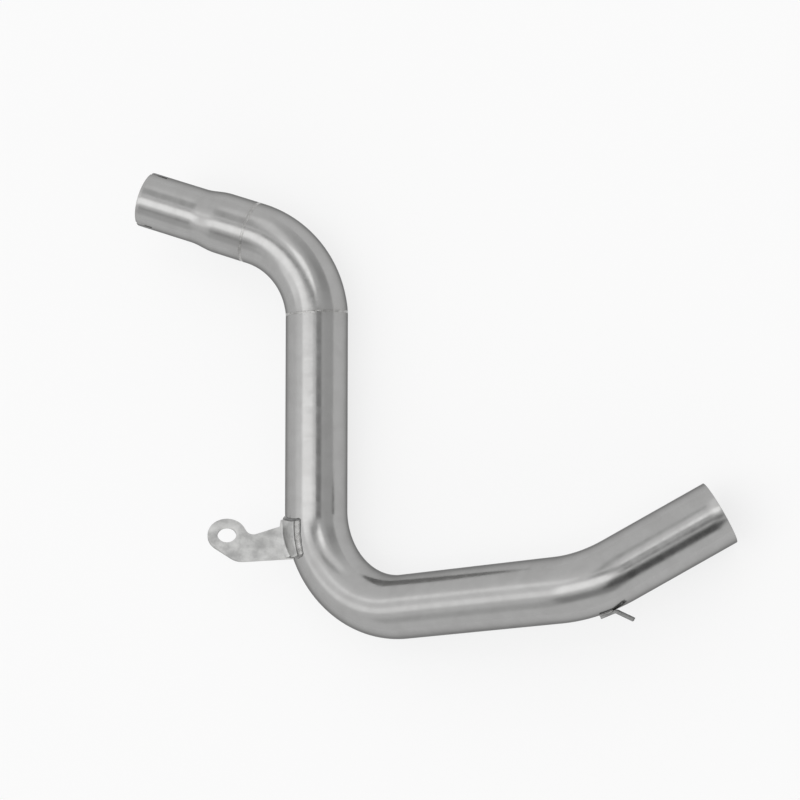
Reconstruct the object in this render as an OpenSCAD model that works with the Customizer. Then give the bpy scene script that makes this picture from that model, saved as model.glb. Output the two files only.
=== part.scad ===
// Catalytic mid pipe for a motorcycle: it joins the header to the silencer.
// The pipe lies as it comes to rest, on its upright run and on the rim of its outlet.
// X points to the right and Y up as the pipe is seen from above, and Z is up from the floor.

/* [Tube] */
// Outer diameter of the tube
tube_od = 60; // [56:0.5:64]
// Wall of the tube and of the inlet connector
tube_wall = 1.5; // [1:0.1:2]
// Radius of every bend, on the centreline
bend_radius = 90; // [85:1:100]

/* [Inlet connector] */
// Outer diameter of the stub that slips over the header
inlet_od = 54; // [52:0.5:55]
// From the mouth to the start of the flare
inlet_stub = 56; // [45:1:60]
// Length of the flare from the stub to the full tube
inlet_flare = 27; // [20:1:35]
// From the mouth to the weld behind the flare
inlet_length = 112; // [105:1:115]
// Width of the two slots that let the mouth close under a clamp
slot_width = 3; // [2:0.5:4]
// Length of the slots, to their round ends
slot_length = 18; // [12:1:24]
// Turn of the slots about the stub's axis
slot_turn = -32; // [-90:1:90]
// Width of the round weld behind the connector
inlet_weld_width = 3; // [2:0.5:4]

/* [Upper elbow] */
// Straight end of the elbow behind the inlet weld
elbow_lead = 2; // [1:0.5:5]
// Bend of the elbow
elbow_bend = 66; // [60:1:70]
// Straight end of the elbow before its lower weld
elbow_tail = 3; // [3:0.5:6]
// Angle that the mitred weld under the elbow adds
elbow_mitre = 6; // [2:1:6]
// Width of the weld under the elbow
elbow_weld_width = 2.4; // [1.6:0.2:2.4]

/* [Main pipe] */
// Upright run, which holds the catalyst
upright_run = 189; // [175:1:200]
// Bend below the upright run
lower_bend = 97; // [90:1:100]
// Run between the lower bend and the rear bend
lower_run = 166; // [150:1:180]
// Bend before the outlet
rear_bend = 37.5; // [30:0.5:45]
// Straight end that the silencer slips over
outlet_run = 103; // [90:1:115]
// Turn between the planes of the upper elbow and the lower bend
upper_twist = 20; // [10:1:25]
// Turn between the planes of the lower bend and the rear bend
rear_twist = 49; // [40:1:55]

/* [Catalyst] */
// Gap between the catalyst's mantle and the tube
mantle_gap = 0.2; // [0.1:0.05:0.4]
// Wall of the mantle
mantle_wall = 1; // [0.8:0.1:1.5]
// Length of the mantle
mantle_length = 100; // [80:1:110]
// From the weld under the elbow down to the mantle
mantle_inset = 35; // [30:1:45]
// Leg of the weld that holds the mantle
mantle_weld_leg = 2.5; // [2:0.5:4]
// How far the foil stands back from the mantle's ends
foil_inset = 5; // [2:0.5:8]
// Thickness of the catalyst's foil
foil = 0.2; // [0.1:0.05:0.3]
// Step from one layer of foil to the next
foil_pitch = 3; // [2.6:0.1:3.6]
// Length of one wave of the corrugated foil
wave_length = 3.4; // [3:0.1:5]

/* [Front bracket] */
// Thickness of the sheet
bracket_sheet = 3; // [2:0.5:4]
// Diameter of the eye's hole
eye_hole = 18; // [14:0.5:20]
// Outer radius of the eye
eye_radius = 18.5; // [17:0.5:18.5]
// From the tube's saddle to the middle of the eye
eye_reach = 56; // [50:1:62]
// Place of the bracket along the lower bend, in degrees of bend
bracket_station = 14.5; // [13:0.5:18]
// Place of the bracket round the tube, from the inside of the bend
bracket_side = 145.5; // [140:0.5:150]
// Lean of the arm up along the tube
bracket_lean = 18; // [10:1:25]
// Turn of the arm about its own length
bracket_turn = 118; // [110:1:125]
// Start of the saddle, in degrees of the lower bend
saddle_start = 4.5; // [3:0.5:6]
// End of the saddle, in degrees of the lower bend
saddle_end = 23.5; // [21:0.5:26]
// Side of the saddle away from the arm, round the tube from the inside of the bend
saddle_edge = 103; // [95:1:110]
// Width of the weld along the saddle's side, in degrees round the tube
side_bead = 12; // [8:1:16]
// Width of the welds at the saddle's ends, in degrees of bend
end_bead = 1.6; // [1:0.1:2.5]
// Height of the bracket's welds
bead_height = 2.2; // [1.5:0.1:2.8]
// How far the weld above the saddle runs past the arm's foot, in degrees round the tube
top_bead_past = 4; // [0:1:6]
// How far the weld below the saddle stops short of the arm's foot, in degrees round the tube
end_bead_short = 24; // [18:1:30]

/* [Rear tab] */
// Thickness of the strip
tab_sheet = 3; // [2:0.5:4]
// Width of the strip
tab_width = 12; // [10:0.5:16]
// Length of the welded foot
tab_foot = 13; // [10:0.5:16]
// Length of the free arm, past the fold
tab_arm = 16; // [14:0.5:24]
// Angle of the arm against the foot
tab_fold = 48; // [30:1:70]
// Inner radius of the fold
tab_fold_radius = 1.5; // [1:0.5:3]
// Diameter of the hole in the arm
tab_hole = 6.5; // [4:0.5:8]
// From the arm's end to the middle of the hole
tab_hole_inset = 6.5; // [6:0.5:9]
// Place of the fold along the rear bend, in degrees of bend
tab_station = 26; // [15:0.5:30]
// Place of the tab round the tube, from the inside of the bend
tab_side = 234; // [225:1:245]
// Leg of the two welds beside the foot
tab_bead = 2.4; // [1.5:0.1:3]

/* [Hidden] */
$fn = 180;

tube_r = tube_od / 2;
bore_r = tube_r - tube_wall;
inlet_r = inlet_od / 2;
elbow_start = inlet_length + inlet_weld_width + elbow_lead;
mantle_r = bore_r - mantle_gap;
foil_r = mantle_r - mantle_wall;
far = 1500;     // wider than the whole pipe, for a cut by a plane
bite = 2;       // how far a trimmed piece is drawn into the tube before the tube is taken away
overshoot = 1;  // how far a cut starts outside the piece

// Frames of the chain: Z runs along the tube, X points to the middle of the next bend.
function turn_y(a) = [[cos(a), 0, sin(a), 0], [0, 1, 0, 0], [-sin(a), 0, cos(a), 0], [0, 0, 0, 1]];
function turn_z(a) = [[cos(a), -sin(a), 0, 0], [sin(a), cos(a), 0, 0], [0, 0, 1, 0], [0, 0, 0, 1]];
function shift(v) = [[1, 0, 0, v.x], [0, 1, 0, v.y], [0, 0, 1, v.z], [0, 0, 0, 1]];
function along(l) = shift([0, 0, l]);
function round_bend(a) =
    shift([bend_radius * (1 - cos(a)), 0, bend_radius * sin(a)]) * turn_y(a);

// Down from the foot of the upright run, in the frame of the lower bend.
rear_chain = round_bend(lower_bend) * along(lower_run) * turn_z(-rear_twist);
outlet_chain = rear_chain * round_bend(rear_bend) * along(outlet_run);

// The pipe rolls about its upright run until the outlet's rim meets the floor.
reach_x = outlet_chain[0][3];
reach_y = outlet_chain[1][3];
function rim_rise(roll) =
    let (dive = sin(roll) * outlet_chain[0][2] + cos(roll) * outlet_chain[1][2])
    tube_r * (sqrt(1 - dive * dive) - 1);
settle_rounds = 6;
function settle(roll, rounds) =
    rounds < 1 ? roll
    : settle(asin(rim_rise(roll) / norm([reach_x, reach_y])) - atan2(reach_y, reach_x), rounds - 1);
roll = settle(0, settle_rounds);
lean = upper_twist - roll;

lower_frame = [[cos(roll), -sin(roll), 0, 0], [0, 0, -1, 0], [sin(roll), cos(roll), 0, 0],
               [0, 0, 0, 1]];
upper_frame = [[-cos(lean), sin(lean), 0, 0], [0, 0, 1, upright_run], [sin(lean), cos(lean), 0, 0],
               [0, 0, 0, 1]];
elbow_frame = upper_frame * turn_y(elbow_mitre);
mitre_frame = upper_frame * turn_y(elbow_mitre / 2);
mouth_frame = elbow_frame * along(elbow_tail) * round_bend(elbow_bend) * along(elbow_start);
rear_frame = lower_frame * rear_chain;

// Rings of the tube at its ends and along its bends, as [frame, radius], for its outer box.
rings = concat(
    [[mouth_frame, inlet_r], [mouth_frame * along(-inlet_stub - inlet_flare), tube_r]],
    [for (a = [0:1:elbow_bend]) [elbow_frame * along(elbow_tail) * round_bend(a), tube_r]],
    [for (a = [0:1:lower_bend]) [lower_frame * round_bend(a), tube_r]],
    [for (a = [0:0.5:rear_bend]) [rear_frame * round_bend(a), tube_r]],
    [[lower_frame * outlet_chain, tube_r]]);
function ring_side(ring, axis, sign) =
    ring[0][axis][3] + sign * ring[1] * sqrt(max(0, 1 - pow(ring[0][axis][2], 2)));
function low_side(axis) = min([for (ring = rings) ring_side(ring, axis, -1)]);
function high_side(axis) = max([for (ring = rings) ring_side(ring, axis, 1)]);
rest_shift = [-(low_side(0) + high_side(0)) / 2, -(low_side(1) + high_side(1)) / 2, tube_r];

// Puts a shape that is drawn in a frame of the chain where the resting pipe has it.
module placed(frame) {
    translate(rest_shift) multmatrix(frame) children();
}

// Moves and turns that the joints of one tube depend on. A number is kept to six digits, so
// a move is made in a rounded step and the small rest. A turn is made in two steps whose
// rounded sines and cosines stretch and shrink alike, and the small rest. Neighbouring faces
// then meet to a millionth of a millimetre.
function rounded(x) = x == 0 ? 0 : let (p = pow(10, 5 - floor(log(abs(x))))) round(x * p) / p;
function stretch(a) = norm([rounded(cos(a)), rounded(sin(a))]) - 1;
function kept_turn(a) = atan2(rounded(sin(a)), rounded(cos(a)));
step_tries = 2000;
function first_step(a) =
    let (steps = [for (k = [1:step_tries]) a * k / (2 * step_tries + 1)],
         errors = [for (step = steps) abs(stretch(step) + stretch(a - step))])
    steps[search(min(errors), errors)[0]];
module fine_move(v) {
    coarse = [for (x = v) rounded(x)];
    translate(coarse) translate(v - coarse) children();
}
module fine_turn(a, axis) {
    step = first_step(a);
    rotate(step, axis) rotate(a - step, axis)
        rotate(a - kept_turn(step) - kept_turn(a - step), axis) children();
}

// Draws in the frame at the end of a bend.
module past_bend(a) {
    fine_move([bend_radius * (1 - cos(a)), 0, bend_radius * sin(a)])
        fine_turn(a, [0, 1, 0]) children();
}

// Sweeps a section along a bend from one degree to another. The section's x points to the
// middle of the bend.
module swept(from, to) {
    translate([bend_radius, 0, 0]) rotate([90, 0, 180]) rotate([0, 0, from])
        rotate_extrude(angle = to - from) translate([bend_radius, 0]) mirror([1, 0]) children();
}

// Section of the tube's wall.
module wall_section() {
    difference() {
        circle(r = tube_r);
        circle(r = bore_r);
    }
}

// Straight piece of tube.
module straight_tube(length) {
    linear_extrude(length) wall_section();
}

// Whole tube with its bore filled, along the lower bend and the end of the upright run.
module lower_core() {
    translate([0, 0, -tube_r]) cylinder(r = tube_r, h = tube_r);
    swept(0, lower_bend / 2) circle(r = tube_r);
}

// Whole tube with its bore filled, along the rear bend.
module rear_core() {
    swept(0, rear_bend) circle(r = tube_r);
}

// Everything in front of the XY plane, and everything behind it.
module front_half() {
    translate([-far / 2, -far / 2, 0]) cube(far);
}
module rear_half() {
    translate([-far / 2, -far / 2, -far]) cube(far);
}

// Points of an outline that runs round a list of circles as a belt does. Each circle is
// [x, y, r], and a negative r is a hollow that the belt passes on its inner side.
function belt_heading(p, q) =
    atan2(q.y - p.y, q.x - p.x) - asin((q.z - p.z) / norm([q.x - p.x, q.y - p.y]));
function wrapped(turn, sign) =
    sign > 0 ? turn - 360 * floor(turn / 360) : turn - 360 * ceil(turn / 360);
function belt(circles, step = 6) =
    let (count = len(circles))
    [for (i = [0:count - 1])
        let (c = circles[i],
             start = belt_heading(circles[(i + count - 1) % count], c),
             turn = wrapped(belt_heading(c, circles[(i + 1) % count]) - start, c.z),
             steps = max(1, ceil(abs(turn) / step)))
        for (k = [0:steps])
            let (heading = start + turn * k / steps)
            [c.x + c.z * sin(heading), c.y - c.z * cos(heading)]];

// Inlet connector: a drawn stub, a smooth flare to the full tube and two clamp slots.
flare_steps = 12;
function flare_radius(t) = inlet_r + (tube_r - inlet_r) * (1 - cos(180 * t)) / 2;
flare_curve = [for (k = [0:flare_steps])
    [flare_radius(k / flare_steps), inlet_stub + inlet_flare * k / flare_steps]];
connector_side = concat([[inlet_r, 0]], flare_curve, [[tube_r, inlet_length]]);
connector_count = len(connector_side);
connector_section = concat(connector_side,
    [for (k = [connector_count - 1:-1:0]) connector_side[k] - [tube_wall, 0]]);

module inlet_connector() {
    color("silver") placed(mouth_frame * along(-inlet_length)) translate([0, 0, inlet_length])
        mirror([0, 0, 1]) difference() {
            rotate_extrude() polygon(connector_section);
            rotate([0, 0, slot_turn]) {
                translate([-tube_r, -slot_width / 2, -overshoot])
                    cube([tube_od, slot_width, slot_length - slot_width / 2 + overshoot]);
                translate([-tube_r, 0, slot_length - slot_width / 2]) rotate([0, 90, 0])
                    cylinder(d = slot_width, h = tube_od);
            }
        }
}

// Weld behind the connector, dressed flush with the tube.
module inlet_weld() {
    color("darkgray") placed(mouth_frame * along(-inlet_length - inlet_weld_width))
        straight_tube(inlet_weld_width);
}

// Upper elbow, cut to the mitre at its lower end.
module upper_elbow() {
    color("silver") intersection() {
        placed(elbow_frame) {
            straight_tube(elbow_tail);
            translate([0, 0, elbow_tail]) {
                swept(0, elbow_bend) wall_section();
                past_bend(elbow_bend) straight_tube(elbow_lead);
            }
        }
        placed(mitre_frame * along(elbow_weld_width / 2)) front_half();
    }
}

// Weld on the mitre between the elbow and the upright run, dressed flush with both.
module weld_half(turn, from) {
    intersection() {
        rotate([0, turn, 0]) translate([0, 0, -elbow_tail]) straight_tube(2 * elbow_tail);
        translate([-tube_od, -tube_od, from])
            cube([2 * tube_od, 2 * tube_od, elbow_weld_width / 2]);
    }
}

module elbow_weld() {
    color("darkgray") placed(mitre_frame) {
        weld_half(elbow_mitre / 2, 0);
        weld_half(-elbow_mitre / 2, -elbow_weld_width / 2);
    }
}

// Main pipe: one tube bent twice, from the mitre to the outlet.
module main_pipe() {
    color("silver") intersection() {
        placed(lower_frame) {
            translate([0, 0, -upright_run - elbow_tail]) straight_tube(upright_run + elbow_tail);
            swept(0, lower_bend) wall_section();
            past_bend(lower_bend) {
                straight_tube(lower_run);
                translate([0, 0, lower_run]) fine_turn(-rear_twist, [0, 0, 1]) {
                    swept(0, rear_bend) wall_section();
                    past_bend(rear_bend) straight_tube(outlet_run);
                }
            }
        }
        placed(mitre_frame * along(-elbow_weld_width / 2)) rear_half();
    }
}

// Catalyst inside the upright run: mantle, foil and the weld that holds the mantle.
mantle_frame = upper_frame * along(-mantle_inset - mantle_length);

module catalyst_mantle() {
    color("gray") placed(mantle_frame) linear_extrude(mantle_length) difference() {
        circle(r = mantle_r);
        circle(r = foil_r);
    }
}

// One round of corrugated foil between two flat ones, from the inner to the outer radius. The
// foil's flanks stand at about 60 degrees, so along a radius it is thicker.
flank = 60;
module foil_wave(inner, outer) {
    waves = round(PI * (inner + outer) / wave_length);
    wall = foil / cos(flank);
    function zigzag(offset) = [for (k = [0:2 * waves - 1])
        let (r = (k % 2 == 0 ? outer - wall : inner) + offset, a = 180 * k / waves)
        [r * cos(a), r * sin(a)]];
    difference() {
        polygon(zigzag(wall));
        polygon(zigzag(0));
    }
}

module catalyst_honeycomb() {
    color("dimgray") placed(mantle_frame) translate([0, 0, foil_inset])
        linear_extrude(mantle_length - 2 * foil_inset)
            for (r = [foil_r:-foil_pitch:foil_pitch]) {
                difference() {
                    circle(r = r);
                    circle(r = r - foil);
                }
                if (r - foil_pitch >= foil_pitch)
                    foil_wave(r - foil_pitch - foil / 2, r - foil / 2);
            }
}

module mantle_weld() {
    color("darkgray") placed(mantle_frame) translate([0, 0, mantle_length]) rotate_extrude()
        polygon([[foil_r + mantle_wall / 2, 0], [mantle_r, 0], [bore_r, 0],
                 [bore_r, mantle_weld_leg]]);
}

// Front bracket: a sheet folded into a saddle, which lies on the tube, and an arm with an eye.
bracket_frame = lower_frame * round_bend(bracket_station) * turn_z(bracket_side)
    * shift([tube_r + bracket_sheet, 0, 0]);
saddle_under = 25;      // how far the saddle is drawn past the arm's foot, where its face cuts it
eye = [0, 0, eye_radius];
heel = [-16, 10.5, 17.5];
neck = [-24.3, -11.4, -8];
foot_low = [-71, 16.3, 1];
foot_high = [-59, -20, 1];

// Draws in the plane of the arm, with the middle of the eye at the origin.
module on_arm() {
    placed(bracket_frame) rotate([0, bracket_lean, 0]) rotate([bracket_turn, 0, 0])
        translate([eye_reach, 0, 0]) children();
}

// Part of the ring round the tube, between two directions from the inside of the bend.
module ring_part(from, to, height, depth = 0) {
    intersection() {
        difference() {
            circle(r = tube_r + height);
            circle(r = tube_r - depth);
        }
        polygon(concat([[0, 0]], [for (k = [0:4])
            let (a = from + (to - from) * k / 4) 2 * tube_r * [cos(a), sin(a)]]));
    }
}

module front_bracket() {
    color("lightgray") difference() {
        intersection() {
            union() {
                on_arm() translate([0, 0, -bracket_sheet - bite])
                    linear_extrude(bracket_sheet + bite) difference() {
                        polygon(belt([eye, heel, foot_low, foot_high, neck]));
                        circle(d = eye_hole);
                    }
                placed(lower_frame) swept(saddle_start, saddle_end)
                    ring_part(saddle_edge, bracket_side + saddle_under, bracket_sheet, bite);
            }
            on_arm() translate([0, 0, -bracket_sheet]) front_half();
        }
        placed(lower_frame) lower_core();
    }
}

// Weld along the saddle's side: full at the sheet and running out to a low toe on the tube.
bead_steps = 6;
bead_toe = 0.25;        // height of the toe against the full bead
module bracket_weld_side() {
    bead = [for (k = [0:bead_steps])
        let (a = saddle_edge - side_bead * k / bead_steps,
             fall = (1 - pow(bead_toe, 2)) * pow(k / bead_steps, 2))
        (tube_r + bead_height * sqrt(1 - fall)) * [cos(a), sin(a)]];
    inner = tube_r - bite;
    color("darkgray") placed(lower_frame) swept(saddle_start, saddle_end) difference() {
        polygon(concat(bead, [inner * [cos(saddle_edge - side_bead), sin(saddle_edge - side_bead)],
                              inner * [cos(saddle_edge), sin(saddle_edge)]]));
        circle(r = tube_r);
    }
}

// Welds at the saddle's two ends, which stop short of the arm.
module end_weld(from, to, side) {
    color("darkgray") placed(lower_frame) swept(from, to)
        ring_part(saddle_edge, side, bead_height);
}
module bracket_weld_top() {
    end_weld(saddle_start - end_bead, saddle_start, bracket_side + top_bead_past);
}
module bracket_weld_end() {
    end_weld(saddle_end, saddle_end + end_bead, bracket_side - end_bead_short);
}

// Rear tab: a strip with its foot on the tube and its arm folded away from it.
tab_frame = rear_frame * round_bend(tab_station) * turn_z(tab_side) * shift([tube_r, 0, 0]);

// Draws in the plane across the strip: x runs along the tube and y away from it.
module on_tab() {
    placed(tab_frame) rotate([-90, -90, 0]) children();
}

// Side view of the strip, with its fold as two arcs about one middle.
fold_steps = 6;
module tab_side_view() {
    outer = tab_fold_radius + tab_sheet;
    centre = [0, tab_sheet + tab_fold_radius];
    out = [cos(tab_fold), sin(tab_fold)];
    tip = centre + outer * [sin(tab_fold), -cos(tab_fold)] + tab_arm * out;
    tip_inner = centre + tab_fold_radius * [sin(tab_fold), -cos(tab_fold)] + tab_arm * out;
    polygon(concat(
        [[-tab_foot, -bite], [0, -bite]],
        [for (k = [0:fold_steps]) let (a = tab_fold * k / fold_steps)
            centre + outer * [sin(a), -cos(a)]],
        [tip, tip_inner],
        [for (k = [fold_steps:-1:0]) let (a = tab_fold * k / fold_steps)
            centre + tab_fold_radius * [sin(a), -cos(a)]],
        [[-tab_foot, tab_sheet]]));
}

module rear_tab() {
    color("lightgray") difference() {
        on_tab() difference() {
            translate([0, 0, -tab_width / 2]) linear_extrude(tab_width) tab_side_view();
            translate([0, tab_sheet + tab_fold_radius, 0]) rotate([0, 0, tab_fold])
                translate([tab_arm - tab_hole_inset, 0, 0]) rotate([90, 0, 0])
                    cylinder(d = tab_hole, h = 2 * (tab_sheet + tab_fold_radius));
        }
        placed(rear_frame) rear_core();
    }
}

// Welds along the two sides of the foot, beneath which the tube's surface falls away.
foot_drop = tube_r - sqrt(pow(tube_r, 2) - pow(tab_width / 2, 2));
module tab_weld(side) {
    color("darkgray") difference() {
        on_tab() mirror([0, 0, side]) translate([-tab_foot, 0, tab_width / 2])
            rotate([90, 0, 90]) linear_extrude(tab_foot)
                polygon([[-bite, 0], [tab_bead - foot_drop, 0], [-bite, tab_bead]]);
        placed(rear_frame) rear_core();
    }
}
module tab_weld_near() {
    tab_weld(0);
}
module tab_weld_far() {
    tab_weld(1);
}

inlet_connector();
inlet_weld();
upper_elbow();
elbow_weld();
main_pipe();
catalyst_mantle();
catalyst_honeycomb();
mantle_weld();
front_bracket();
bracket_weld_top();
bracket_weld_side();
bracket_weld_end();
rear_tab();
tab_weld_near();
tab_weld_far();
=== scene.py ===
"""Dresses the bare solids of a catalytic mid pipe as satin stainless steel.

Lengths are in metres and angles in degrees, unless a name says otherwise. A frame is a 4 by 4
matrix whose Z axis heads along the tube.
"""

import logging
from collections.abc import Callable
from dataclasses import dataclass, replace
from enum import Enum

import bmesh
import bpy
import numpy as np
from mathutils import Matrix, Vector


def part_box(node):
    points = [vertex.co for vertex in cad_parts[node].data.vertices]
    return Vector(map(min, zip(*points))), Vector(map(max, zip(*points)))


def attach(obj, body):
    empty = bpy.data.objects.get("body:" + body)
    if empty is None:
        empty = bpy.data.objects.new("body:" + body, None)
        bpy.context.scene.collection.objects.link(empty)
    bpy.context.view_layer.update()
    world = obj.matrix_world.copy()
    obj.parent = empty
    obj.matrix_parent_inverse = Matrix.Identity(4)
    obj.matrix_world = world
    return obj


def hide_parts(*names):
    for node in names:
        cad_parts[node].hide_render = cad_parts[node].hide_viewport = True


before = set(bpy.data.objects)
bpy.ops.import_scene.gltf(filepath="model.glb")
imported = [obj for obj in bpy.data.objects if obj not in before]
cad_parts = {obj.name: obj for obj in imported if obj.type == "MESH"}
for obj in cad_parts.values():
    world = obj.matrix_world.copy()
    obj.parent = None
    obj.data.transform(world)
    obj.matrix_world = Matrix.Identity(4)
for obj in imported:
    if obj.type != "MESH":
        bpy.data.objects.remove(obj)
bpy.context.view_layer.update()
LOG = logging.getLogger("mid_pipe")
SEED = 7                    # of the weld beads' unevenness
MM = 0.001
STRAIGHT = "straightened"   # attribute: where a point would lie if the tube were straight
SEAM = "seam"               # attribute: weld stain, and painted shade at bead toes and the bracket's saddle, from 0 to 1

RIM = 0.35 * MM             # rounding of a tube's cut edges
RIM_STEPS = 4               # rows on that rounding
SEAM_REACH = 3.5 * MM       # how far beside a round weld the tube is stained
SEAM_SHADE = 0.6            # how dark that stain is
TUBE_CRISP = 50             # degrees: sharper edges of a tube are shaded crisp
WELD_CRISP = 60             # degrees: the same on round welds and on the bracket's fold
SAME_PLACE = 1e-6           # metres: vertices of a new mesh this close are one
CAD_SAME_PLACE = 2e-6       # metres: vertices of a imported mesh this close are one
CAD_FLAT = 0.5              # degrees: packed triangles that lie flatter are joined
ROUNDED_FROM = 28           # degrees: sharper edges of a sheet are rounded
ROUNDING_STEPS = 3          # faces on that rounding
NOISE_RANGE = (0.3, 0.7)    # values between which noise mostly lies
CLOUD_RANGE = (0.35, 0.7)   # the same for clouds, which leave more of the plain colour
SPECK_SHARE = 0.3           # how much specks change the roughness against the broad bands


def turn_y(angle: float) -> np.ndarray:
    """Turn about Y, as a frame."""
    c, s = np.cos(np.radians(angle)), np.sin(np.radians(angle))
    return np.array([[c, 0, s, 0], [0, 1, 0, 0], [-s, 0, c, 0], [0, 0, 0, 1.0]])


def turn_z(angle: float) -> np.ndarray:
    """Turn about Z, as a frame."""
    c, s = np.cos(np.radians(angle)), np.sin(np.radians(angle))
    return np.array([[c, -s, 0, 0], [s, c, 0, 0], [0, 0, 1, 0], [0, 0, 0, 1.0]])


def turn_x(angle: float) -> np.ndarray:
    """Turn about X, as a frame."""
    c, s = np.cos(np.radians(angle)), np.sin(np.radians(angle))
    return np.array([[1, 0, 0, 0], [0, c, -s, 0], [0, s, c, 0], [0, 0, 0, 1.0]])


def shift(x: float = 0.0, y: float = 0.0, z: float = 0.0) -> np.ndarray:
    """Move, as a frame."""
    move = np.eye(4)
    move[:3, 3] = (x, y, z)
    return move


def unit(vectors: np.ndarray) -> np.ndarray:
    """Vectors of length 1 along the last axis."""
    return vectors / np.linalg.norm(vectors, axis=-1, keepdims=True)


def smooth_step(share: np.ndarray) -> np.ndarray:
    """3t² - 2t³ of a share that is first held between 0 and 1."""
    t = np.clip(share, 0.0, 1.0)
    return t * t * (3 - 2 * t)


def full_circle(count: int) -> np.ndarray:
    """Even angles round a circle, in radians."""
    return 2 * np.pi * np.arange(count) / count


def round_bend(base: np.ndarray, radius: float, angle: float) -> np.ndarray:
    """Carries a frame round a bend: by (R - R cos a, 0, R sin a), then turned by a about Y."""
    a = np.radians(angle)
    return base @ shift(radius * (1 - np.cos(a)), 0, radius * np.sin(a)) @ turn_y(angle)


def ring_points(frames: np.ndarray, x: np.ndarray, y: np.ndarray) -> np.ndarray:
    """Points centre + x X + y Y, with one frame for each row of x and y."""
    return (frames[:, None, :3, 3] + x[..., None] * frames[:, None, :3, 0]
            + y[..., None] * frames[:, None, :3, 1])


@dataclass(frozen=True)
class Leg:
    """A straight stretch of tube, or a bend where an angle is given, after a turn of its plane."""

    length: float = 0.0
    bend: float = 0.0
    twist: float = 0.0


@dataclass(frozen=True)
class Route:
    """Centreline of a tube that is made of legs."""

    start: np.ndarray
    legs: tuple[Leg, ...]
    radius: float

    def span(self, leg: Leg) -> float:
        """Length of a leg along the centreline."""
        return np.radians(leg.bend) * self.radius if leg.bend else leg.length

    def reach(self, count: int) -> float:
        """Length of the first legs together."""
        return sum(self.span(leg) for leg in self.legs[:count])

    @property
    def length(self) -> float:
        """Length of the whole centreline."""
        return self.reach(len(self.legs))

    def frame_at(self, station: float) -> np.ndarray:
        """Frame at one station."""
        return self.frames(np.array([station]))[0]

    def frames(self, stations: np.ndarray) -> np.ndarray:
        """Finds the frame at each station.

        On a straight the frame moves along Z. On a bend of radius R it stands at
        (R - R cos a, 0, R sin a) and is turned by a = length / R about Y. The turns of the
        bends' planes are taken back, so the frames never jump about their own Z.

        Args:
            stations: lengths along the centreline, from the start.

        Returns:
            One frame for each station.
        """
        found = np.empty((len(stations), 4, 4))
        base, begun, twist = self.start, 0.0, 0.0
        for index, leg in enumerate(self.legs):
            base = base @ turn_z(leg.twist)
            twist += leg.twist
            inside = stations >= begun if index else np.ones(len(stations), bool)
            run = stations[inside] - begun
            angle = run / self.radius if leg.bend else np.zeros(len(run))
            local = np.zeros((len(run), 4, 4))
            local[:, 0, 0] = local[:, 2, 2] = np.cos(angle)
            local[:, 0, 2] = np.sin(angle)
            local[:, 2, 0] = -np.sin(angle)
            local[:, 1, 1] = local[:, 3, 3] = 1
            local[:, 0, 3] = self.radius * (1 - np.cos(angle))
            local[:, 2, 3] = self.radius * np.sin(angle) if leg.bend else run
            found[inside] = base @ local @ turn_z(-twist)
            begun += self.span(leg)
            base = self.end_of(base, leg)
        return found

    def end_of(self, base: np.ndarray, leg: Leg) -> np.ndarray:
        """Frame at the end of a leg that starts at a base frame."""
        return round_bend(base, self.radius, leg.bend) if leg.bend else base @ shift(z=leg.length)

    def stations(self, straight_step: float, bend_step: float) -> np.ndarray:
        """Spreads stations over the route, close together on bends and wide apart on straights.

        Args:
            straight_step: longest step on a straight.
            bend_step: longest step on a bend, in degrees.

        Returns:
            Rising lengths along the centreline, from 0 to the route's end.
        """
        parts, begun = [np.zeros(1)], 0.0
        for leg in self.legs:
            span = self.span(leg)
            steps = leg.bend / bend_step if leg.bend else leg.length / straight_step
            count = max(1, int(np.ceil(steps)))
            parts.append(begun + span * np.arange(1, count + 1) / count)
            begun += span
        return np.concatenate(parts)


@dataclass(frozen=True)
class BendSurface:
    """Outside of a bent tube, met by degrees of bend, degrees round the tube and height."""

    base: np.ndarray
    bend_radius: float
    tube_radius: float

    def points(self, bend: np.ndarray, side: np.ndarray, height: np.ndarray) -> np.ndarray:
        """Works out points on the surface or above it.

        With r the tube's radius plus the height and q = R - r cos(side), a point is
        (R - q cos(bend), r sin(side), q sin(bend)) in the frame at the start of the bend.

        Args:
            bend: degrees of bend.
            side: degrees round the tube, from the inside of the bend.
            height: height above the tube.

        Returns:
            Points, with the arrays' own shape and three coordinates.
        """
        a, b = np.radians(bend), np.radians(side)
        r = self.tube_radius + height
        q = self.bend_radius - r * np.cos(b)
        local = np.stack([self.bend_radius - q * np.cos(a), r * np.sin(b), q * np.sin(a)], axis=-1)
        return local @ self.base[:3, :3].T + self.base[:3, 3]


def signed_volume(points: np.ndarray, quads: np.ndarray) -> float:
    """Volume that a closed mesh of quads holds, below zero where its faces point inwards."""
    a, b, c, d = (points[quads[:, k]] for k in range(4))
    return float(np.sum(a * np.cross(b, c)) + np.sum(a * np.cross(c, d))) / 6


def add_object(name: str, data: bpy.types.ID) -> bpy.types.Object:
    """Puts a new object with its data into the scene, at the origin."""
    piece = bpy.data.objects.new(name, data)
    bpy.context.scene.collection.objects.link(piece)
    return piece


def smooth_faces(mesh: bpy.types.Mesh) -> None:
    """Shades every face of a mesh smooth."""
    mesh.polygons.foreach_set("use_smooth", np.ones(len(mesh.polygons), bool))


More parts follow.
